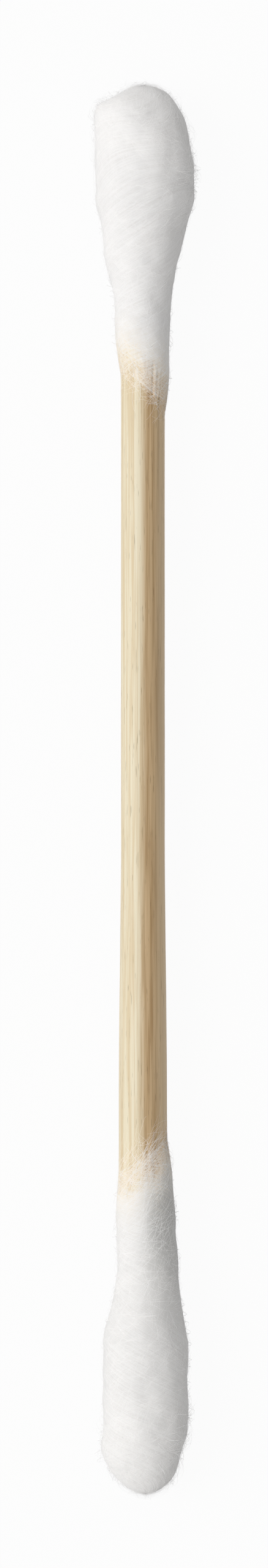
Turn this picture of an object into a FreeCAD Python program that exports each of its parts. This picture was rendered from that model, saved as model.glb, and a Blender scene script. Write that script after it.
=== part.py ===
import FreeCAD, Part
import math
import os

Vector = FreeCAD.Vector

# Double-ended cotton swab with a wooden stick, lying on its side.
# The stick lies along Y, level, above a floor at Z = 0. The wide tip is at +Y, the slim tip at -Y.
# The origin is on the floor, under the middle of the swab. Sizes are in millimetres, angles in degrees.

# Whole swab, from crown to crown
overall_length = 75.0

# Stick: a round dowel, with the edges of its cut ends eased
stick_diameter = 2.45
stick_end_rounding = 0.15
crown_cover = 2.0

# Wide tip: blunt dome, straight barrel, taper that falls away soonest at first, short neck
wide_half_width = 2.66
wide_half_height = 2.46
wide_flat_depth = 0.13
wide_dome_length = 2.9
wide_barrel_length = 3.1
wide_taper_length = 7.2
wide_taper_haste = 0.6
wide_neck_length = 2.75
wide_collar_thickness = 0.22
wide_edge_slant = 37.5
wide_shoulder_tilt = 25.0
wide_off_centre = 0.08
wide_taper_lean = -0.1

# Slim tip: rounder dome, long barrel, quicker taper, longer neck
slim_half_width = 2.27
slim_half_height = 2.22
slim_flat_depth = 0.12
slim_dome_length = 3.2
slim_barrel_length = 4.8
slim_taper_length = 5.6
slim_taper_haste = 0.55
slim_neck_length = 4.35
slim_collar_thickness = 0.32
slim_edge_slant = 36.0
slim_shoulder_tilt = 8.0
slim_off_centre = 0.14
slim_taper_lean = 0.12

# Winding: how thick the cotton ends on the stick, and its low swells, which turn slowly round the tip
edge_thickness = 0.12
swell_height = 0.04
swell_count = 3
swell_twist = 9.0

# How finely a tip's surface is laid out
ring_points = 12
dome_rings = 6
taper_rings = 4
neck_rings = 3

stick_radius = stick_diameter / 2
stick_length = overall_length - 2 * crown_cover
# The slim tip's flat carries the stick's axis at this height, and the wide bulb is wound off centre to match
axis_height = slim_half_height - slim_flat_depth
wide_lift = wide_half_height - wide_flat_depth - axis_height


def ease(share):
    """A smooth step from 0 to 1, level at both ends."""
    inside = min(max(share, 0.0), 1.0)
    return inside * inside * (3 - 2 * inside)


class CottonTip:
    """Cotton wound on one end of the stick. A distance along it runs from its crown to the swab's middle."""

    def __init__(
        self,
        side,
        half_width,
        half_height,
        dome,
        barrel,
        taper,
        haste,
        neck,
        collar,
        slant,
        tilt,
        off_centre,
        lean,
        lift,
    ):
        self.side = side
        self.half_width = half_width
        self.half_height = half_height
        self.dome = dome
        self.taper_start = dome + barrel
        self.taper = taper
        self.haste = haste
        self.neck_start = self.taper_start + taper
        self.neck = neck
        self.length = self.neck_start + neck
        self.collar_radius = stick_radius + collar
        self.edge_radius = stick_radius + edge_thickness
        self.slope = math.tan(math.radians(slant))
        self.tilt = math.tan(math.radians(tilt))
        self.off_centre = off_centre
        self.lean = lean
        self.lift = lift

    def stations(self):
        """Distances of the rings that shape the tip."""
        steps = [math.radians(90 * (i + 1) / dome_rings) for i in range(dome_rings)]
        dome = [self.dome * (1 - math.cos(angle)) for angle in steps]
        barrel = [(self.dome + self.taper_start) / 2, self.taper_start]
        taper = [self.taper_start + self.taper * (i + 1) / taper_rings for i in range(taper_rings)]
        neck = [self.neck_start + self.neck * (i + 1) / neck_rings for i in range(neck_rings)]
        return dome + barrel + taper + neck

    def half_sizes(self, distance):
        """Half width and half height of the oval section at a distance."""
        if distance < self.dome:
            share = math.sqrt(1 - (1 - distance / self.dome) ** 2)
            return self.half_width * share, self.half_height * share
        if distance <= self.neck_start:
            share = ease(max(0.0, (distance - self.taper_start) / self.taper) ** self.haste)
            width = self.half_width + (self.collar_radius - self.half_width) * share
            height = self.half_height + (self.collar_radius - self.half_height) * share
            return width, height
        share = ((distance - self.neck_start) / self.neck) ** 2
        radius = self.collar_radius + (self.edge_radius - self.collar_radius) * share
        return radius, radius

    def ring(self, distance):
        """Closed smooth outline of the tip at a distance. It is tilted at the shoulder and slanted at the edge."""
        run = min(1.0, max(0.0, (distance - self.taper_start) / (self.length - self.taper_start)))
        settled = ease(run)
        shoulder = math.sin(math.pi * min(1.0, distance / (2 * self.dome)))
        slope = self.tilt * shoulder + self.slope * settled
        half_width, half_height = self.half_sizes(distance)
        centre_x = self.off_centre * (1 - settled) + self.lean * math.sin(math.pi * run)
        centre_z = axis_height + self.lift * (1 - settled)
        swell = swell_height * math.sin(math.pi * distance / self.length)
        phase = math.radians(swell_twist * distance)
        points = []
        for i in range(ring_points):
            angle = 2 * math.pi * i / ring_points
            bump = swell * math.cos(swell_count * angle - phase)
            x = centre_x + (half_width + bump) * math.cos(angle)
            z = centre_z + (half_height + bump) * math.sin(angle)
            y = self.side * (overall_length / 2 - distance - slope * x)
            points.append(Vector(x, y, z))
        curve = Part.BSplineCurve()
        shares = [i / ring_points for i in range(ring_points + 1)]
        curve.interpolate(Points=points, PeriodicFlag=True, Parameters=shares)
        return Part.Wire(curve.toShape())

    def solid(self, stick):
        """The tip, hollowed by the stick and pressed flat where it rests on the floor."""
        crown = Part.Vertex(self.off_centre, self.side * overall_length / 2, axis_height + self.lift)
        rings = [self.ring(distance) for distance in self.stations()]
        outside = Part.makeLoft([crown] + rings, True, False, False, 3)
        box = outside.BoundBox
        corner = Vector(box.XMin, box.YMin, box.ZMin)
        below_floor = Part.makeBox(box.XLength, box.YLength, -box.ZMin, corner)
        return outside.cut(stick).cut(below_floor)


def make_stick():
    """The dowel, with the round edges of both ends eased."""
    start = Vector(0, -stick_length / 2, axis_height)
    dowel = Part.makeCylinder(stick_radius, stick_length, start, Vector(0, 1, 0))
    end_edges = [edge for edge in dowel.Edges if edge.isClosed()]
    return dowel.makeFillet(stick_end_rounding, end_edges)


def make_wide_tip(stick):
    """The fuller tip, at +Y, wound a little above the stick's axis."""
    tip = CottonTip(
        side=1,
        half_width=wide_half_width,
        half_height=wide_half_height,
        dome=wide_dome_length,
        barrel=wide_barrel_length,
        taper=wide_taper_length,
        haste=wide_taper_haste,
        neck=wide_neck_length,
        collar=wide_collar_thickness,
        slant=wide_edge_slant,
        tilt=wide_shoulder_tilt,
        off_centre=wide_off_centre,
        lean=wide_taper_lean,
        lift=wide_lift,
    )
    return tip.solid(stick)


def make_slim_tip(stick):
    """The slimmer tip, at -Y, level with the stick."""
    tip = CottonTip(
        side=-1,
        half_width=slim_half_width,
        half_height=slim_half_height,
        dome=slim_dome_length,
        barrel=slim_barrel_length,
        taper=slim_taper_length,
        haste=slim_taper_haste,
        neck=slim_neck_length,
        collar=slim_collar_thickness,
        slant=slim_edge_slant,
        tilt=slim_shoulder_tilt,
        off_centre=slim_off_centre,
        lean=slim_taper_lean,
        lift=0.0,
    )
    return tip.solid(stick)


os.makedirs("parts", exist_ok=True)
stick = make_stick()
stick.exportStep("parts/stick.step")
make_wide_tip(stick).exportStep("parts/wide_cotton_tip.step")
make_slim_tip(stick).exportStep("parts/slim_cotton_tip.step")
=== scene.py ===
import logging
import math
import random
from collections.abc import Callable, Sequence
from dataclasses import dataclass, field
from enum import Enum

import bmesh
import bpy
from mathutils import Euler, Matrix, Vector, noise


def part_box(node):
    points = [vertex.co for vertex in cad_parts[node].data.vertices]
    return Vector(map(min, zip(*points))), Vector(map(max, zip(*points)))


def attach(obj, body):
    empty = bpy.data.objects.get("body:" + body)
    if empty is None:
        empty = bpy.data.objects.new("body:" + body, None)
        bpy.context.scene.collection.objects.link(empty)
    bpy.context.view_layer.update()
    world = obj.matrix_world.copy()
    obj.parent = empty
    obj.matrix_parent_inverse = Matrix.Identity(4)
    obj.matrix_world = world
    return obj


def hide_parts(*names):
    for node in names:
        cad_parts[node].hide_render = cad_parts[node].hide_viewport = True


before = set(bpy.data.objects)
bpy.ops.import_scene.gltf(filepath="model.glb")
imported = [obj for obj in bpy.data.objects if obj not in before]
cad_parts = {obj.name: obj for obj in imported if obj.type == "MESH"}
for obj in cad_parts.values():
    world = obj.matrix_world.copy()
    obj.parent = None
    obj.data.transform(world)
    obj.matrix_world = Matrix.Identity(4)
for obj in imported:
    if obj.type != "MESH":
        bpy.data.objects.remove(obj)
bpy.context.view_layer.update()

LOG = logging.getLogger("cotton_swab")
MM = 0.001
BODY = "root"
# Drawn-out noise is turned by this before it is read, so that its cells don't line up across the grain
GRAIN_TURN = Euler((math.radians(35), math.radians(10), math.radians(25)))


class Side(Enum):
    """Which way along Y an end of the swab points."""

    WIDE = 1
    SLIM = -1


class Lay(Enum):
    """How a loose fibre lies on the cotton."""

    LOOP = "both ends caught, the middle standing proud"
    FREE_END = "one end caught, the other lifting away"
    CLINGING = "flat against the surface all along"


def ease(share: float) -> float:
    """A smooth step from 0 to 1, level at both ends.

    Args:
        share: where on the step, held between 0 and 1.

    Returns:
        The height of the step there.
    """
    inside = min(max(share, 0.0), 1.0)
    return inside * inside * (3 - 2 * inside)


def linear(hex_colour: str) -> tuple[float, float, float, float]:
    """Turns an sRGB hex colour into the linear colour that a shader takes.

    Args:
        hex_colour: six hex digits, such as "F2F0EC".

    Returns:
        Red, green, blue and an alpha of 1.
    """
    parts = [int(hex_colour[i:i + 2], 16) / 255 for i in (0, 2, 4)]
    red, green, blue = [c / 12.92 if c <= 0.04045 else ((c + 0.055) / 1.055) ** 2.4 for c in parts]
    return (red, green, blue, 1.0)


def add_node(tree: bpy.types.NodeTree, kind: str, inputs: dict | None = None, **settings) -> bpy.types.Node:
    """Adds a shader node with its settings, values and links.

    Args:
        tree: the node tree that gets the node.
        kind: Blender's name of the node's type.
        inputs: socket name or number to a plain value, or to the output socket that feeds it.
        settings: the node's own properties.

    Returns:
        The new node.
    """
    node = tree.nodes.new(kind)
    for name, value in settings.items():
        setattr(node, name, value)
    for key, value in (inputs or {}).items():
        if isinstance(value, bpy.types.NodeSocket):
            tree.links.new(value, node.inputs[key])
        else:
            node.inputs[key].default_value = value
    return node


def new_material(name: str) -> tuple[bpy.types.Material, bpy.types.NodeTree]:
    """Starts an empty node material.

    Args:
        name: the material's name.

    Returns:
        The material and its cleared node tree.
    """
    material = bpy.data.materials.new(name)
    material.use_nodes = True
    material.node_tree.nodes.clear()
    return material, material.node_tree


def grey(level: float) -> tuple[float, float, float, float]:
    """A neutral linear colour of one level."""
    return (level, level, level, 1.0)


def blend(
    tree: bpy.types.NodeTree, share: bpy.types.NodeSocket, first: object, second: object
) -> bpy.types.NodeSocket:
    """Mixes two colours.

    Args:
        tree: the node tree that gets the node.
        share: how much of the second colour there is, from 0 to 1.
        first: a linear colour, or the output that carries one.
        second: the same for the other colour.

    Returns:
        The output that carries the mix.
    """
    return add_node(tree, "ShaderNodeMix", {0: share, 6: first, 7: second}, data_type="RGBA").outputs[2]


def step_between(
    tree: bpy.types.NodeTree, value: bpy.types.NodeSocket, low: float, high: float, top: float = 1.0
) -> bpy.types.NodeSocket:
    """A smooth step from 0 up to a top as a value rises from low to high.

    Args:
        tree: the node tree that gets the node.
        value: the output that carries the value.
        low: where the step starts.
        high: where it ends.
        top: its height.

    Returns:
        The output that carries the step.
    """
    return add_node(
        tree,
        "ShaderNodeMapRange",
        {"Value": value, "From Min": low, "From Max": high, "To Max": top},
        interpolation_type="SMOOTHSTEP",
    ).outputs["Result"]


@dataclass(frozen=True)
class BirchDowel:
    """Bare birch, turned to a dowel and tumbled smooth.

    It gives straight fine grain along the stick, a cream side of sapwood beside a tan band of older wood,
    a paler right side painted in as light bounced onto it, short fine pores and a low silky gloss.
    """

    sapwood: str = "EDE2C6"
    sapwood_dark: str = "DFCBA6"
    heartwood: str = "D4B68C"
    heartwood_dark: str = "B49266"
    # Paler colour painted on the stick's right side as bounced light, where the key light doesn't reach
    painted_flank_light: str = "E8D0AA"
    painted_flank_light_share: float = 0.6
    painted_flank_light_from_mm: float = 0.55
    painted_flank_light_to_mm: float = 1.0
    pore: str = "7F6643"
    boundary_mm: float = -0.02
    boundary_soft_mm: float = 0.3
    boundary_wander_mm: float = 0.18
    grain_width_mm: float = 0.16
    grain_length_mm: float = 9.0
    streak_span: tuple[float, float] = (0.38, 0.66)
    wander_width_mm: float = 6.0
    wander_length_mm: float = 30.0
    pore_width_mm: float = 0.05
    pore_length_mm: float = 1.1
    pore_span: tuple[float, float] = (0.66, 0.74)
    pore_share: float = 0.45
    relief_mm: float = 0.009
    roughness: float = 0.52

    def streaks(
        self, tree: bpy.types.NodeTree, width_mm: float, length_mm: float, detail: float
    ) -> bpy.types.Node:
        """Noise drawn out along the stick.

        Args:
            tree: the node tree that gets the nodes.
            width_mm: distance across the grain from streak to streak.
            length_mm: length of a streak.
            detail: how many finer layers are added.

        Returns:
            The noise node.
        """
        place = add_node(tree, "ShaderNodeTexCoord").outputs["Object"]
        scale = (1 / (width_mm * MM), 1 / (length_mm * MM), 1 / (width_mm * MM))
        drawn = add_node(
            tree,
            "ShaderNodeMapping",
            {"Vector": place, "Rotation": tuple(GRAIN_TURN), "Scale": scale},
        )
        return add_node(
            tree,
            "ShaderNodeTexNoise",
            {"Vector": drawn.outputs["Vector"], "Scale": 1.0, "Detail": detail, "Roughness": 0.6},
        )

    def pattern(self, tree: bpy.types.NodeTree) -> tuple[bpy.types.NodeSocket, bpy.types.NodeSocket]:
        """Adds the wood's colour and the height of its grain.

        Args:
            tree: the node tree that gets the nodes.

        Returns:
            The outputs that carry the colour and the height.
        """
        grain = self.streaks(tree, self.grain_width_mm, self.grain_length_mm, 3.0)
        pores = self.streaks(tree, self.pore_width_mm, self.pore_length_mm, 1.0)
        wander = self.streaks(tree, self.wander_width_mm, self.wander_length_mm, 1.0)
        place = add_node(tree, "ShaderNodeTexCoord").outputs["Object"]
        split = add_node(tree, "ShaderNodeSeparateXYZ", {"Vector": place})
        moved = add_node(
            tree,
            "ShaderNodeMath",
            {0: wander.outputs["Fac"], 1: 2 * self.boundary_wander_mm * MM, 2: split.outputs["X"]},
            operation="MULTIPLY_ADD",
        )
        low = (self.boundary_mm + self.boundary_wander_mm - self.boundary_soft_mm) * MM
        high = (self.boundary_mm + self.boundary_wander_mm + self.boundary_soft_mm) * MM
        older = step_between(tree, moved.outputs["Value"], low, high)
        streak = step_between(tree, grain.outputs["Fac"], *self.streak_span)
        young_wood = blend(tree, streak, linear(self.sapwood), linear(self.sapwood_dark))
        old_wood = blend(tree, streak, linear(self.heartwood), linear(self.heartwood_dark))
        # Painted light: the stick's right side (positive X), away from the key light, is lightened as if lit
        # by bounced light
        side = step_between(
            tree, split.outputs["X"], self.painted_flank_light_from_mm * MM, self.painted_flank_light_to_mm * MM, self.painted_flank_light_share
        )
        wood = blend(tree, side, blend(tree, older, young_wood, old_wood), linear(self.painted_flank_light))
        pore_mask = step_between(tree, pores.outputs["Fac"], *self.pore_span, self.pore_share)
        height = add_node(
            tree,
            "ShaderNodeMath",
            {0: grain.outputs["Fac"], 1: pore_mask},
            operation="SUBTRACT",
        )
        return blend(tree, pore_mask, wood, linear(self.pore)), height.outputs["Value"]

    def material(self) -> bpy.types.Material:
        """Builds the material."""
        material, tree = new_material("birch_turned_bare")
        colour, height = self.pattern(tree)
        bump = add_node(
            tree,
            "ShaderNodeBump",
            {"Height": height, "Strength": 1.0, "Distance": self.relief_mm * MM},
        )
        skin = add_node(
            tree,
            "ShaderNodeBsdfPrincipled",
            {
                "Base Color": colour,
                "Roughness": self.roughness,
                "IOR": 1.5,
                "Specular IOR Level": 0.5,
                "Normal": bump.outputs["Normal"],
            },
        )
        add_node(tree, "ShaderNodeOutputMaterial", {"Surface": skin.outputs["BSDF"]})
        return material


@dataclass(frozen=True)
class WoundCotton:
    """Bleached cotton wool, wound on and pressed.

    It gives a matt white with drawn-out strands that follow the winding and fine tangled fibre between them,
    with a greyer colour painted into the low parts of that pattern as shade.
    Where it thins out it gets a painted grey shade on its right side, away from the key light, then turns
    warm, and at last the wood shows through between the strands.
    """

    name: str = "cotton_wool_loose_wound"
    white: str = "F6F5F4"
    # Greyer colour painted into the low parts of the pattern as shade
    hollow_shade: str = "ECEAE8"
    over_wood: str = "F6F0E6"
    # Painted grey shade for the tip's right side near its thin end, standing in for shade
    painted_shade: str = "A8A7A2"
    painted_shade_share: float = 0.0
    painted_shade_from_mm: float = -0.5
    painted_shade_to_mm: float = 0.9
    under: BirchDowel = BirchDowel()
    strand_width_mm: float = 0.13
    strand_length_mm: float = 2.2
    tangle_mm: float = 0.09
    tangle_share: float = 0.6
    depth_span: tuple[float, float] = (0.5, 1.0)
    strand_reach: float = 0.8
    warm_span: tuple[float, float] = (0.25, 1.35)
    bare_span: tuple[float, float] = (0.28, 0.74)
    relief_mm: float = 0.01
    roughness: float = 0.95
    sheen: float = 0.45

    def material(self) -> bpy.types.Material:
        """Builds the material. It reads the piece's own attributes wound, cover and thin; thin places the
        painted grey shade.
        """
        material, tree = new_material(self.name)
        wound = add_node(tree, "ShaderNodeAttribute", attribute_name="wound")
        cover = add_node(tree, "ShaderNodeAttribute", attribute_name="cover")
        across = 1 / (self.strand_width_mm * MM)
        along = 1 / (self.strand_length_mm * MM)
        drawn = add_node(
            tree,
            "ShaderNodeMapping",
            {"Vector": wound.outputs["Vector"], "Scale": (across, along, across)},
        )
        strands = add_node(
            tree,
            "ShaderNodeTexNoise",
            {
                "Vector": drawn.outputs["Vector"],
                "Scale": 1.0,
                "Detail": 3.0,
                "Roughness": 0.6,
                "Distortion": 0.9,
            },
        )
        place = add_node(tree, "ShaderNodeTexCoord").outputs["Object"]
        tangle = add_node(
            tree,
            "ShaderNodeTexNoise",
            {
                "Vector": place,
                "Scale": 1 / (self.tangle_mm * MM),
                "Detail": 4.0,
                "Roughness": 0.7,
                "Distortion": 1.2,
            },
        )
        height = add_node(
            tree,
            "ShaderNodeMath",
            {0: tangle.outputs["Fac"], 1: self.tangle_share, 2: strands.outputs["Fac"]},
            operation="MULTIPLY_ADD",
        )
        depth = step_between(tree, height.outputs["Value"], *self.depth_span)
        # Painted shade: the low parts of the strand and tangle pattern take the greyer colour
        fibre = blend(tree, depth, linear(self.hollow_shade), linear(self.white))
        thin = add_node(tree, "ShaderNodeAttribute", attribute_name="thin")
        split = add_node(tree, "ShaderNodeSeparateXYZ", {"Vector": place})
        # Painted shade: grey on the right side (positive X), away from the key light, growing toward the thin
        # end
        painted_shade_side = step_between(
            tree, split.outputs["X"], self.painted_shade_from_mm * MM, self.painted_shade_to_mm * MM, self.painted_shade_share
        )
        painted_grey = add_node(
            tree, "ShaderNodeMath", {0: thin.outputs["Fac"], 1: painted_shade_side}, operation="MULTIPLY"
        )
        fibre = blend(tree, painted_grey.outputs["Value"], fibre, linear(self.painted_shade))
        veil = add_node(
            tree,
            "ShaderNodeMath",
            {0: strands.outputs["Fac"], 1: self.strand_reach, 2: cover.outputs["Fac"]},
            operation="MULTIPLY_ADD",
        ).outputs["Value"]
        cotton = blend(tree, step_between(tree, veil, *self.warm_span), linear(self.over_wood), fibre)
        wood = self.under.pattern(tree)[0]
        colour = blend(tree, step_between(tree, veil, *self.bare_span), wood, cotton)
        bump = add_node(
            tree,
            "ShaderNodeBump",
            {"Height": height.outputs["Value"], "Strength": 1.0, "Distance": self.relief_mm * MM},
        )
        skin = add_node(
            tree,
            "ShaderNodeBsdfPrincipled",
            {
                "Base Color": colour,
                "Roughness": self.roughness,
                "Specular IOR Level": 0.1,
                "Sheen Weight": self.sheen,
                "Sheen Roughness": 0.6,
                "Normal": bump.outputs["Normal"],
            },
        )
        add_node(tree, "ShaderNodeOutputMaterial", {"Surface": skin.outputs["BSDF"]})
        return material


@dataclass(frozen=True)
class LooseCotton:
    """Single bleached cotton fibres, too thin for any pattern. They give a soft nap and a bright edge."""

    name: str = "cotton_fibre_white"
    white: str = "F7F6F5"
    roughness: float = 0.9
    sheen: float = 0.45

    def material(self) -> bpy.types.Material:
        """Builds the material."""
        material, tree = new_material(self.name)
        skin = add_node(
            tree,
            "ShaderNodeBsdfPrincipled",
            {
                "Base Color": linear(self.white),
                "Roughness": self.roughness,
                "Specular IOR Level": 0.1,
                "Sheen Weight": self.sheen,
                "Sheen Roughness": 0.6,
            },
        )
        add_node(tree, "ShaderNodeOutputMaterial", {"Surface": skin.outputs["BSDF"]})
        return material


@dataclass(frozen=True)
class StudioPaper:
    """Matt white paper under the swab. It reads white to the camera and keeps a soft shadow."""

    paper: str = "D8D8D8"
    glow_share: float = 0.95
    glow: float = 1.0

    def material(self) -> bpy.types.Material:
        """Builds the material."""
        material, tree = new_material("paper_white_matt")
        matt = add_node(tree, "ShaderNodeBsdfDiffuse", {"Color": linear(self.paper)})
        white = add_node(tree, "ShaderNodeEmission", {"Color": grey(1.0), "Strength": self.glow})
        ray = add_node(tree, "ShaderNodeLightPath")
        seen = add_node(
            tree,
            "ShaderNodeMath",
            {0: ray.outputs["Is Camera Ray"], 1: ray.outputs["Is Glossy Ray"]},
            operation="MAXIMUM",
        )
        share = add_node(
            tree, "ShaderNodeMath", {0: seen.outputs["Value"], 1: self.glow_share}, operation="MULTIPLY"
        )
        mix = add_node(
            tree,
            "ShaderNodeMixShader",
            {0: share.outputs["Value"], 1: matt.outputs["BSDF"], 2: white.outputs["Emission"]},
        )
        add_node(tree, "ShaderNodeOutputMaterial", {"Surface": mix.outputs["Shader"]})
        return material


def face_outward(shape: bmesh.types.BMesh) -> None:
    """Turns every face of one closed shape outward."""
    bmesh.ops.recalc_face_normals(shape, faces=shape.faces[:])
    if shape.calc_volume(signed=True) < 0:
        bmesh.ops.reverse_faces(shape, faces=shape.faces[:])


def finish_piece(
    name: str, mesh: bpy.types.Mesh, material: bpy.types.Material, smooth: bool = True
) -> bpy.types.Object:
    """Puts a mesh into the scene as a piece that rides on the swab.

    Args:
        name: the piece's name.
        mesh: its finished mesh, in place.
        material: its finish.
        smooth: whether it is shaded as one smooth surface.

    Returns:
        The piece.
    """
    mesh.name = name
    mesh.materials.clear()
    mesh.materials.append(material)
    mesh.polygons.foreach_set("use_smooth", [smooth] * len(mesh.polygons))
    piece = bpy.data.objects.new(name, mesh)
    bpy.context.scene.collection.objects.link(piece)
    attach(piece, BODY)
    mesh.calc_loop_triangles()
    LOG.info("%s: %d triangles", name, len(mesh.loop_triangles))
    return piece


@dataclass
class WoodenStick:
    """The dowel that both tips are wound on."""

    finish: BirchDowel = BirchDowel()
    around: int = 96
    along: int = 220
    ridge_mm: float = 0.16
    ridge_length_mm: float = 7.0
    relief_mm: float = 0.009
    relief_layers: tuple[float, float, int] = (0.8, 2.0, 3)
    wear_mm: float = 0.15
    slender_mm: float = 0.055
    stout_mm: float = 0.065
    stout_from: float = -2.0
    stout_to: float = -17.0

    def __post_init__(self) -> None:
        """Reads the dowel's size and place from the frame."""
        low, high = (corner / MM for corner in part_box("stick"))
        self.radius: float = (high.x - low.x) / 2
        self.height: float = (high.z + low.z) / 2
        self.start: float = low.y
        self.end: float = high.y

    def relief(self, angle: float, y: float) -> float:
        """How far the grain stands proud of the plain dowel.

        Args:
            angle: round the stick, in radians.
            y: place along the stick, in millimetres.

        Returns:
            The height in millimetres.
        """
        across = self.radius / self.ridge_mm
        point = Vector((math.cos(angle) * across, y / self.ridge_length_mm, math.sin(angle) * across))
        point.rotate(GRAIN_TURN)
        return self.relief_mm * noise.fractal(point, *self.relief_layers)

    def girth(self, y: float) -> float:
        """The dowel's own radius at a place. It is a little slenderer on one half than on the other."""
        share = ease((y - self.stout_from) / (self.stout_to - self.stout_from))
        return self.radius - self.slender_mm + (self.slender_mm + self.stout_mm) * share

    def build(self) -> bpy.types.Object:
        """Turns the dowel from a circle drawn out along the stick, and closes both ends."""
        dowel = bmesh.new()
        circle = bmesh.ops.create_circle(dowel, segments=self.around, radius=self.radius)
        for vertex in circle["verts"]:
            vertex.co = (vertex.co.x, self.start, vertex.co.y)
        rim = dowel.edges[:]
        step = (self.end - self.start) / self.along
        for _ in range(self.along):
            made = bmesh.ops.extrude_edge_only(dowel, edges=rim)["geom"]
            rim = [part for part in made if isinstance(part, bmesh.types.BMEdge)]
            moved = [part for part in made if isinstance(part, bmesh.types.BMVert)]
            bmesh.ops.translate(dowel, verts=moved, vec=(0, step, 0))
        bmesh.ops.holes_fill(dowel, edges=dowel.edges[:], sides=0)
        for vertex in dowel.verts:
            self.shape(vertex)
        face_outward(dowel)
        mesh = bpy.data.meshes.new("stick_dowel")
        dowel.to_mesh(mesh)
        dowel.free()
        piece = finish_piece("stick_dowel", mesh, self.finish.material())
        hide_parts("stick")
        return piece

    def shape(self, vertex: bmesh.types.BMVert) -> None:
        """Gives one vertex its grain and its worn end, and puts it in place in metres.

        Args:
            vertex: a vertex of the plain dowel about the Y axis, in millimetres.
        """
        angle = math.atan2(vertex.co.z, vertex.co.x)
        y = vertex.co.y
        to_end = min(y - self.start, self.end - y)
        worn = self.wear_mm * (1 - math.sqrt(1 - max(0.0, 1 - to_end / self.wear_mm) ** 2))
        radius = self.girth(y) - worn + self.relief(angle, y)
        vertex.co = Vector((radius * math.cos(angle), y, self.height + radius * math.sin(angle))) * MM


@dataclass(frozen=True)
class Lump:
    """A local swelling or dent in the cotton."""

    angle_deg: float
    distance: float
    height: float
    spread: float


@dataclass(frozen=True)
class Winding:
    """How the cotton lies on a tip, in millimetres: soft lumps, creases between turns and drawn-out strands.

    Each kind of layers says how fast finer layers fade, how much finer each one is and how many there are.
    """

    pitch_deg: float = 62.0
    lump: float = 1.7
    lump_height: float = 0.075
    lump_layers: tuple[float, float, int] = (0.9, 2.0, 2)
    crease_pitch: float = 2.3
    crease_width: float = 0.3
    crease_depth: float = 0.022
    crease_warp: float = 0.45
    crease_warp_size: float = 2.2
    crease_gaps: float = 1.6
    crease_gap_size: float = 1.7
    crease_from: float = 1.6
    strand: float = 0.22
    strand_length: float = 3.4
    strand_height: float = 0.008
    strand_layers: tuple[float, float, int] = (0.8, 2.0, 2)
    tangle: float = 0.34
    tangle_height: float = 0.004
    tangle_layers: tuple[float, float, int] = (0.7, 2.1, 3)
    edge_calm: float = 0.25
    seed_drift: float = 7.3


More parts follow.
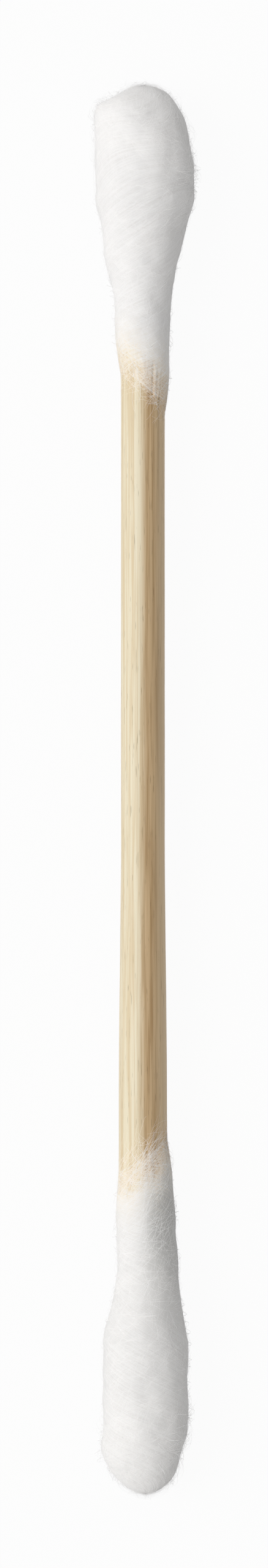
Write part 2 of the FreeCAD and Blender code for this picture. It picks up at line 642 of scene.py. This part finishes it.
@dataclass
class CottonTip:
    """One wound cotton tip. Distances along it run from its crown towards the middle, in millimetres."""

    name: str
    node: str
    side: Side
    stick: WoodenStick
    half_width: float
    half_height: float
    dome: float
    barrel: float
    taper: float
    haste: float
    neck: float
    collar: float
    slant_deg: float
    tilt_deg: float
    off_centre: float
    lean: float
    lift: float
    lumps: Sequence[Lump] = ()
    winding: Winding = Winding()
    finish: WoundCotton = WoundCotton()
    edge: float = 0.12
    rag: float = 0.7
    rag_waves: tuple[float, float] = (2.2, 7.0)
    rag_fine: float = 0.6
    feather: float = 1.5
    feather_play: float = 0.02
    veil: float = 5.0
    # Length from the edge over which the painted grey shade fades in
    thinning: float = 11.5
    around: int = 260
    dome_rows: int = 84
    side_rows: int = 200
    bore_rows: int = 6
    bore_play: float = 0.04
    bore_haste: float = 1.3
    bore_closing: float = 3.0
    fill: float = 0.85
    seed: int = 1

    def __post_init__(self) -> None:
        """Works out the places along the tip, and its crown from the frame."""
        low, high = (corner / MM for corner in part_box(self.node))
        self.crown_y: float = high.y if self.side is Side.WIDE else low.y
        self.taper_start: float = self.dome + self.barrel
        self.neck_start: float = self.taper_start + self.taper
        self.length: float = self.neck_start + self.neck
        stick_end = self.stick.end if self.side is Side.WIDE else self.stick.start
        self.bore_end: float = self.side.value * (self.crown_y - stick_end)
        self.slope: float = math.tan(math.radians(self.slant_deg))
        self.tilt: float = math.tan(math.radians(self.tilt_deg))
        self.twist: float = math.tan(math.radians(self.winding.pitch_deg)) / self.half_width

    def half_sizes(self, distance: float) -> tuple[float, float]:
        """Half width and half height of the plain oval section at a distance."""
        if distance < self.dome:
            share = math.sqrt(max(0.0, 1 - (1 - distance / self.dome) ** 2))
            return self.half_width * share, self.half_height * share
        collar = self.stick.radius + self.collar
        if distance <= self.neck_start:
            share = ease(max(0.0, (distance - self.taper_start) / self.taper) ** self.haste)
            return (
                self.half_width + (collar - self.half_width) * share,
                self.half_height + (collar - self.half_height) * share,
            )
        share = min(1.0, (distance - self.neck_start) / self.neck) ** 2
        radius = collar + (self.stick.radius + self.edge - collar) * share
        return radius, radius

    def plain(self, angle: float, distance: float) -> Vector:
        """A point of the plain tip's surface.

        Args:
            angle: round the tip, in radians.
            distance: along the tip from its crown.

        Returns:
            The point in millimetres.
        """
        run = min(1.0, max(0.0, (distance - self.taper_start) / (self.length - self.taper_start)))
        settled = ease(run)
        shoulder = math.sin(math.pi * min(1.0, distance / (2 * self.dome)))
        slope = self.tilt * shoulder + self.slope * settled
        half_width, half_height = self.half_sizes(distance)
        centre = self.off_centre * (1 - settled) + self.lean * math.sin(math.pi * run)
        x = centre + half_width * math.cos(angle)
        z = self.stick.height + self.lift * (1 - settled) + half_height * math.sin(angle)
        return Vector((x, self.crown_y - self.side.value * (distance + slope * x), z))

    def out(self, angle: float, distance: float) -> Vector:
        """The plain surface's outward direction at a point."""
        step = 0.02
        along = self.plain(angle, distance + step) - self.plain(angle, max(0.0, distance - step))
        if distance < step:
            return Vector((0, self.side.value, 0))
        across = self.plain(angle + step, distance) - self.plain(angle - step, distance)
        normal = across.cross(along).normalized()
        centre = Vector((0, self.crown_y - self.side.value * max(distance, self.dome), self.stick.height))
        return normal if normal.dot(self.plain(angle, distance) - centre) > 0 else -normal

    def nap(self, point: Vector) -> Vector:
        """The way that the cotton faces beside a point in the air near it.

        Args:
            point: the point in millimetres.

        Returns:
            A direction straight away from the tip's middle line, or from the middle of its dome.
        """
        distance = max(self.side.value * (self.crown_y - point.y), self.dome)
        settled = ease((distance - self.taper_start) / (self.length - self.taper_start))
        middle = Vector((
            self.off_centre * (1 - settled),
            self.crown_y - self.side.value * distance,
            self.stick.height + self.lift * (1 - settled),
        ))
        return (point - middle).normalized()

    def wound(self, angle: float, distance: float) -> Vector:
        """Coordinates that follow the winding, in millimetres: Y runs along a strand, X and Z across it."""
        turned = angle - self.twist * distance
        return Vector((self.half_width * math.cos(turned), distance, self.half_width * math.sin(turned)))

    def relief(self, angle: float, distance: float, point: Vector) -> float:
        """How far the cotton stands proud of the plain tip.

        Args:
            angle: round the tip, in radians.
            distance: along the tip.
            point: the plain surface's point there.

        Returns:
            The height in millimetres, below zero in a dent.
        """
        wind = self.winding
        drift = Vector((self.seed * wind.seed_drift, 0, 0))
        wound = self.wound(angle, distance)
        thick = ease((self.length - distance) / self.neck)
        height = wind.lump_height * noise.fractal(point / wind.lump + drift, *wind.lump_layers)
        strand = Vector((wound.x / wind.strand, wound.y / wind.strand_length, wound.z / wind.strand))
        height += wind.strand_height * noise.fractal(strand + drift, *wind.strand_layers)
        height += wind.tangle_height * noise.fractal(point / wind.tangle + drift, *wind.tangle_layers)
        warp = wind.crease_warp * noise.noise(point / wind.crease_warp_size + drift)
        turn = (distance / wind.crease_pitch + angle / (2 * math.pi) * self.side.value + warp) % 1.0
        off = min(turn, 1 - turn) * wind.crease_pitch / wind.crease_width
        broken = ease(0.5 + wind.crease_gaps * noise.noise(point / wind.crease_gap_size - drift))
        past_crown = ease(distance / wind.crease_from)
        height -= wind.crease_depth * broken * past_crown * math.exp(-off * off)
        for lump in self.lumps:
            across = math.radians(lump.angle_deg)
            away = (point - self.plain(across, lump.distance)).length / lump.spread
            height += lump.height * math.exp(-away * away)
        return height * (wind.edge_calm + (1 - wind.edge_calm) * thick)

    def ragged(self, angle: float) -> float:
        """How much further than its plain edge the cotton reaches at an angle, in millimetres."""
        point = Vector((math.cos(angle), math.sin(angle), self.seed))
        broad, fine = (noise.noise(point * wave) for wave in self.rag_waves)
        return self.rag * (broad + self.rag_fine * fine)

    def surface(self, angle: float, distance: float, proud: float = 0.0) -> Vector:
        """A point of the finished surface, kept on or above the floor.

        Args:
            angle: round the tip, in radians.
            distance: along the tip.
            proud: how far above the cotton.

        Returns:
            The point in millimetres.
        """
        plain = self.plain(angle, distance)
        point = plain + self.out(angle, distance) * (self.relief(angle, distance, plain) + proud)
        point.z = max(point.z, 0.0)
        return point

    def row_point(self, row: int, angle: float) -> tuple[Vector, float, float]:
        """Place, distance and cover of a vertex of the closed shell.

        The rows run from the crown over the dome, along the side to the ragged edge, and back along the bore.

        Args:
            row: number of the row, from 0 at the crown.
            angle: round the tip, in radians.

        Returns:
            The point in millimetres, its distance along the tip and the cotton's cover there, from 0 to 1.
        """
        if row <= self.dome_rows:
            distance = self.dome * (1 - math.cos(math.pi / 2 * row / self.dome_rows))
            return self.surface(angle, distance), distance, 1.0
        last = self.dome_rows + self.side_rows
        if row <= last:
            share = (row - self.dome_rows) / self.side_rows
            end = self.length + self.ragged(angle)
            distance = self.dome + (end - self.dome) * share
            cover = ease((end - distance) / self.veil)
            point = self.surface(angle, min(distance, self.length))
            point.y -= self.side.value * max(0.0, distance - self.length)
            return self.thinned(point, (end - distance) / self.feather), distance, cover
        share = (row - last) / self.bore_rows
        edge = self.row_point(last, angle)[0]
        bore_y = self.crown_y - self.side.value * self.bore_end
        y = edge.y + (bore_y - edge.y) * min(1.0, self.bore_haste * share)
        radius = (self.stick.girth(y) - self.bore_play) * min(1.0, self.bore_closing * (1 - share))
        bore = Vector((radius * math.cos(angle), y, self.stick.height + radius * math.sin(angle)))
        return bore, self.length, 0.0

    def thinned(self, point: Vector, share: float) -> Vector:
        """Draws a point near the edge in until the cotton meets the wood."""
        radial = Vector((point.x, 0, point.z - self.stick.height))
        skin = self.stick.girth(point.y) - self.feather_play
        radius = skin + (radial.length - skin) * math.sqrt(min(1.0, max(0.0, share)))
        radial = radial.normalized() * radius
        return Vector((radial.x, point.y, self.stick.height + radial.z))

    def build(self) -> bpy.types.Object:
        """Moulds the tip from a sphere whose far pole is drawn up the bore."""
        rows = self.dome_rows + self.side_rows + self.bore_rows
        ball = bmesh.new()
        bmesh.ops.create_uvsphere(ball, u_segments=self.around, v_segments=rows, radius=1.0)
        wound = ball.verts.layers.float_vector.new("wound")
        cover = ball.verts.layers.float.new("cover")
        thin = ball.verts.layers.float.new("thin")
        for vertex in ball.verts:
            row = round(math.acos(min(1.0, max(-1.0, vertex.co.z))) / math.pi * rows)
            angle = math.atan2(vertex.co.y, vertex.co.x)
            point, distance, thick = self.row_point(row, angle)
            vertex.co = point * MM
            vertex[wound] = self.wound(angle, distance) * MM
            vertex[cover] = thick
            # How near the cotton's thin end a vertex lies; it places the painted grey shade
            vertex[thin] = 1 - ease((self.length - distance) / self.thinning)
        face_outward(ball)
        mesh = bpy.data.meshes.new(self.name)
        ball.to_mesh(mesh)
        ball.free()
        piece = finish_piece(self.name, mesh, self.finish.material())
        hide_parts(self.node)
        return piece


@dataclass
class FibreCloud:
    """Loose fibres on one tip, all in one piece."""

    name: str
    tip: CottonTip
    count: int
    lays: Sequence[tuple[Lay, float]]
    start: Callable[[random.Random], tuple[float, float]]
    length: tuple[float, float] = (0.8, 2.4)
    proud: tuple[float, float] = (0.03, 0.3)
    wander: float = 0.5
    steer_deg: float = 45.0
    diameter: float = 0.015
    thinning: float = 0.55
    flatness: float = 0.35
    lift_power: float = 1.6
    lift_on_wood: float = 0.3
    past_edge: float = 2.0
    least_girth: float = 0.5
    knots: int = 8
    seed: int = 11
    finish: LooseCotton = LooseCotton()

    def height(self, lay: Lay, share: float, proud: float) -> float:
        """How far a fibre stands above the cotton.

        Args:
            lay: how the fibre lies.
            share: how far along the fibre, from 0 to 1.
            proud: its greatest height in millimetres.

        Returns:
            The height in millimetres.
        """
        if lay is Lay.LOOP:
            return proud * math.sin(math.pi * share)
        if lay is Lay.FREE_END:
            return proud * share ** self.lift_power
        return self.diameter

    def path(self, draw: random.Random) -> list[Vector]:
        """The points that one fibre runs through, in millimetres.

        Args:
            draw: the seeded source of chance.

        Returns:
            Its points, from its caught end.
        """
        angle, distance = self.start(draw)
        lay = draw.choices([kind for kind, _ in self.lays], [share for _, share in self.lays])[0]
        length = draw.uniform(*self.length)
        proud = draw.uniform(*self.proud) * draw.random()
        steer = math.radians(90 - self.tip.winding.pitch_deg + draw.gauss(0, self.steer_deg))
        if draw.random() < 0.5:
            steer += math.pi
        turn = draw.gauss(0, self.wander) / self.knots
        points = []
        for i in range(self.knots):
            share = i / (self.knots - 1)
            place = min(distance, self.tip.length + self.past_edge)
            points.append(self.lie(angle, place, self.height(lay, share, proud)))
            steer += turn + draw.gauss(0, self.wander / self.knots)
            girth = max(self.least_girth, self.tip.half_sizes(min(place, self.tip.length))[0])
            angle += self.tip.side.value * math.cos(steer) * length / self.knots / girth
            distance += math.sin(steer) * length / self.knots
            if distance < 0:
                distance, angle, steer = -distance, angle + math.pi, -steer
        return points

    def lie(self, angle: float, distance: float, proud: float) -> Vector:
        """A point above the cotton, or above the bare wood past the cotton's edge."""
        tip = self.tip
        end = tip.length + tip.ragged(angle)
        point = tip.surface(angle, min(distance, tip.length), proud)
        point.y -= tip.side.value * max(0.0, distance - tip.length)
        if distance < end - tip.feather:
            return point
        radial = Vector((point.x, 0, point.z - tip.stick.height))
        thin = min(1.0, max(0.0, (end - distance) / tip.feather))
        skin = tip.stick.girth(point.y) + self.diameter / 2 + self.lift_on_wood * proud
        radial = radial.normalized() * (skin + max(0.0, radial.length - skin) * math.sqrt(thin))
        return Vector((radial.x, point.y, tip.stick.height + radial.z))

    def section(self, threads: bmesh.types.BMesh, points: list[Vector], i: int) -> list[bmesh.types.BMVert]:
        """Adds a fibre's section at one of its points: three corners, pressed flat against the cotton.

        Args:
            threads: the mesh that gets the corners.
            points: the points that the fibre runs through, in millimetres.
            i: number of the point.

        Returns:
            The three corners, the middle one on the outside.
        """
        along = points[min(i + 1, len(points) - 1)] - points[max(i - 1, 0)]
        outward = self.tip.nap(points[i])
        across = along.cross(outward).normalized()
        half = self.diameter / 2 * (1 - self.thinning * i / len(points))
        places = (
            points[i] - across * half,
            points[i] + outward * half * self.flatness,
            points[i] + across * half,
        )
        return [threads.verts.new(place * MM) for place in places]

    def build(self) -> bpy.types.Object:
        """Draws every fibre as a thin closed ribbon."""
        draw = random.Random(self.seed)
        threads = bmesh.new()
        for _ in range(self.count):
            points = self.path(draw)
            sections = [self.section(threads, points, i) for i in range(len(points))]
            for near, far in zip(sections, sections[1:]):
                for i in range(3):
                    threads.faces.new((near[i - 1], near[i], far[i], far[i - 1]))
            threads.faces.new(sections[0][::-1])
            threads.faces.new(sections[-1])
        mesh = bpy.data.meshes.new(self.name)
        threads.to_mesh(mesh)
        threads.free()
        piece = finish_piece(self.name, mesh, self.finish.material(), smooth=False)
        # A single cotton fibre is clear, so it throws next to no shadow
        piece.visible_shadow = False
        return piece


@dataclass
class Studio:
    """Camera, soft light and paper. The camera looks straight down, with the wide tip at the top."""

    picture: tuple[int, int] = (438, 2560)
    pixels_per_mm: float = 30.5
    centre_mm: tuple[float, float] = (-0.475, 0.28)
    camera_height: float = 0.6
    sensor: float = 36.0
    key_energy: float = 1.48
    key_spread_deg: float = 40.0
    key_from_deg: tuple[float, float] = (178.0, 47.0)
    sky: float = 0.385
    sky_tilt: float = 0.3
    sky_ends: float = 0.45
    paper_size: float = 60.0
    paper: StudioPaper = field(default_factory=StudioPaper)

    def camera(self) -> None:
        """Sets the camera so that the swab fills the same part of the picture as in the photograph."""
        data = bpy.data.cameras.new("studio_camera")
        data.sensor_width = self.sensor
        tall = max(self.picture) / self.pixels_per_mm * MM
        data.lens = self.sensor * self.camera_height / tall
        data.clip_start = 0.01
        data.clip_end = 100.0
        camera = bpy.data.objects.new("studio_camera", data)
        camera.location = (self.centre_mm[0] * MM, self.centre_mm[1] * MM, self.camera_height)
        bpy.context.scene.collection.objects.link(camera)
        bpy.context.scene.camera = camera

    def light(self) -> None:
        """One broad soft light from the left, and a pale sky, brighter on that side and beyond both tips."""
        azimuth, elevation = (math.radians(angle) for angle in self.key_from_deg)
        key_way = Vector((
            math.cos(elevation) * math.cos(azimuth),
            math.cos(elevation) * math.sin(azimuth),
            math.sin(elevation),
        ))
        data = bpy.data.lights.new("key_softbox", "SUN")
        data.energy = self.key_energy
        data.angle = math.radians(self.key_spread_deg)
        key = bpy.data.objects.new("key_softbox", data)
        key.rotation_mode = "QUATERNION"
        key.rotation_quaternion = key_way.to_track_quat("Z", "Y")
        bpy.context.scene.collection.objects.link(key)
        world = bpy.data.worlds.new("studio_sky")
        world.use_nodes = True
        tree = world.node_tree
        tree.nodes.clear()
        ray = add_node(tree, "ShaderNodeLightPath")
        towards = add_node(tree, "ShaderNodeTexCoord").outputs["Generated"]
        way = add_node(tree, "ShaderNodeSeparateXYZ", {"Vector": towards}).outputs
        beyond = add_node(tree, "ShaderNodeMath", {0: way["Y"], 1: 2.0}, operation="POWER")
        ends = add_node(
            tree,
            "ShaderNodeMath",
            {0: beyond.outputs["Value"], 1: self.sky_ends, 2: self.sky},
            operation="MULTIPLY_ADD",
        )
        light = add_node(
            tree,
            "ShaderNodeMath",
            {0: way["X"], 1: -self.sky * self.sky_tilt, 2: ends.outputs["Value"]},
            operation="MULTIPLY_ADD",
        )
        level = add_node(
            tree,
            "ShaderNodeMapRange",
            {"Value": ray.outputs["Is Camera Ray"], "To Min": light.outputs["Value"], "To Max": 1.0},
        )
        sky = add_node(
            tree, "ShaderNodeBackground", {"Color": grey(1.0), "Strength": level.outputs["Result"]}
        )
        add_node(tree, "ShaderNodeOutputWorld", {"Surface": sky.outputs["Background"]})
        bpy.context.scene.world = world

    def floor(self) -> None:
        """A wide sheet of paper at the swab's feet."""
        sheet = bmesh.new()
        bmesh.ops.create_grid(sheet, x_segments=1, y_segments=1, size=self.paper_size / 2)
        mesh = bpy.data.meshes.new("paper")
        sheet.to_mesh(mesh)
        sheet.free()
        mesh.materials.append(self.paper.material())
        paper = bpy.data.objects.new("paper", mesh)
        bpy.context.scene.collection.objects.link(paper)

    def build(self) -> None:
        """Sets up the studio and the plain view settings."""
        self.camera()
        self.light()
        self.floor()
        bpy.context.scene.view_settings.view_transform = "Standard"
        LOG.info("studio ready")


def body_start(tip: CottonTip, least: float = 0.25) -> Callable[[random.Random], tuple[float, float]]:
    """Where fibres start all over a tip, evenly for its area.

    Args:
        tip: the tip.
        least: added to the tip's half width, so that its very crown gets some too.

    Returns:
        A function that draws an angle and a distance.
    """

    def start(draw: random.Random) -> tuple[float, float]:
        """Draws one place."""
        while True:
            distance = draw.uniform(0, tip.length)
            if draw.random() * tip.half_width < tip.half_sizes(distance)[0] + least:
                return draw.uniform(-math.pi, math.pi), distance

    return start


def crown_start(tip: CottonTip, reach: float = 1.4) -> Callable[[random.Random], tuple[float, float]]:
    """Where fibres start on a tip's dome and just past it.

    Args:
        tip: the tip.
        reach: how far from the crown they start, in lengths of the dome.

    Returns:
        A function that draws an angle and a distance.
    """

    def start(draw: random.Random) -> tuple[float, float]:
        """Draws one place."""
        return draw.uniform(-math.pi, math.pi), draw.uniform(0, reach * tip.dome)

    return start


def edge_start(
    tip: CottonTip, inside: float = 0.3, scatter: float = 0.45
) -> Callable[[random.Random], tuple[float, float]]:
    """Where fibres start close to a tip's ragged edge.

    Args:
        tip: the tip.
        inside: how far inside the edge most of them start, in millimetres.
        scatter: how widely they are scattered about that line.

    Returns:
        A function that draws an angle and a distance.
    """

    def start(draw: random.Random) -> tuple[float, float]:
        """Draws one place."""
        angle = draw.uniform(-math.pi, math.pi)
        return angle, tip.length + tip.ragged(angle) + draw.gauss(-inside, scatter)

    return start


def main() -> None:
    """Builds the swab and its studio, piece by piece."""
    logging.basicConfig(level=logging.INFO, format="%(message)s")
    Studio().build()
    stick = WoodenStick()
    stick.build()
    wide = CottonTip(
        name="wide_cotton",
        node="wide_cotton_tip",
        side=Side.WIDE,
        stick=stick,
        half_width=2.66,
        half_height=2.46,
        dome=2.9,
        barrel=3.1,
        taper=7.2,
        haste=0.6,
        neck=2.75,
        collar=0.22,
        slant_deg=37.5,
        tilt_deg=25.0,
        off_centre=0.08,
        lean=-0.1,
        lift=0.23,
        lumps=(
            Lump(angle_deg=180, distance=0.9, height=-0.34, spread=0.8),
            Lump(angle_deg=180, distance=2.2, height=0.06, spread=0.9),
            Lump(angle_deg=0, distance=2.0, height=-0.14, spread=1.0),
            Lump(angle_deg=180, distance=9.8, height=0.24, spread=1.2),
        ),
        seed=3,
    )
    slim = CottonTip(
        name="slim_cotton",
        node="slim_cotton_tip",
        side=Side.SLIM,
        stick=stick,
        half_width=2.27,
        half_height=2.22,
        dome=3.2,
        barrel=4.8,
        taper=5.6,
        haste=0.55,
        neck=4.35,
        collar=0.32,
        slant_deg=36.0,
        tilt_deg=8.0,
        off_centre=0.14,
        lean=0.12,
        lift=0.0,
        lumps=(
            Lump(angle_deg=0, distance=1.8, height=-0.2, spread=0.9),
            Lump(angle_deg=180, distance=2.6, height=0.12, spread=0.8),
            Lump(angle_deg=180, distance=8.9, height=0.14, spread=1.0),
        ),
        finish=WoundCotton(
            # The slim tip gets painted grey shade on its right side near its neck
            name="cotton_wool_tight_wound", white="F4F3F1", hollow_shade="E9E7E5", painted_shade_share=0.8
        ),
        seed=8,
    )
    for tip in (wide, slim):
        tip.build()
        FibreCloud(
            name=tip.name + "_fuzz",
            tip=tip,
            count=2800,
            lays=((Lay.LOOP, 0.45), (Lay.FREE_END, 0.3), (Lay.CLINGING, 0.25)),
            start=body_start(tip),
            seed=tip.seed + 20,
        ).build()
        FibreCloud(
            name=tip.name + "_fluff",
            tip=tip,
            count=900,
            lays=((Lay.LOOP, 0.6), (Lay.FREE_END, 0.4)),
            start=crown_start(tip),
            length=(0.9, 2.2),
            proud=(0.15, 0.55),
            wander=1.1,
            steer_deg=60.0,
            diameter=0.012,
            seed=tip.seed + 60,
        ).build()
        FibreCloud(
            name=tip.name + "_wisps",
            tip=tip,
            count=360,
            lays=((Lay.CLINGING, 0.8), (Lay.FREE_END, 0.2)),
            start=edge_start(tip),
            length=(0.8, 2.8),
            diameter=0.014,
            finish=LooseCotton(name="cotton_fibre_over_wood", white="F8F0E4"),
            proud=(0.03, 0.15),
            steer_deg=30.0,
            seed=tip.seed + 40,
        ).build()


if __name__ == "__main__":
    main()
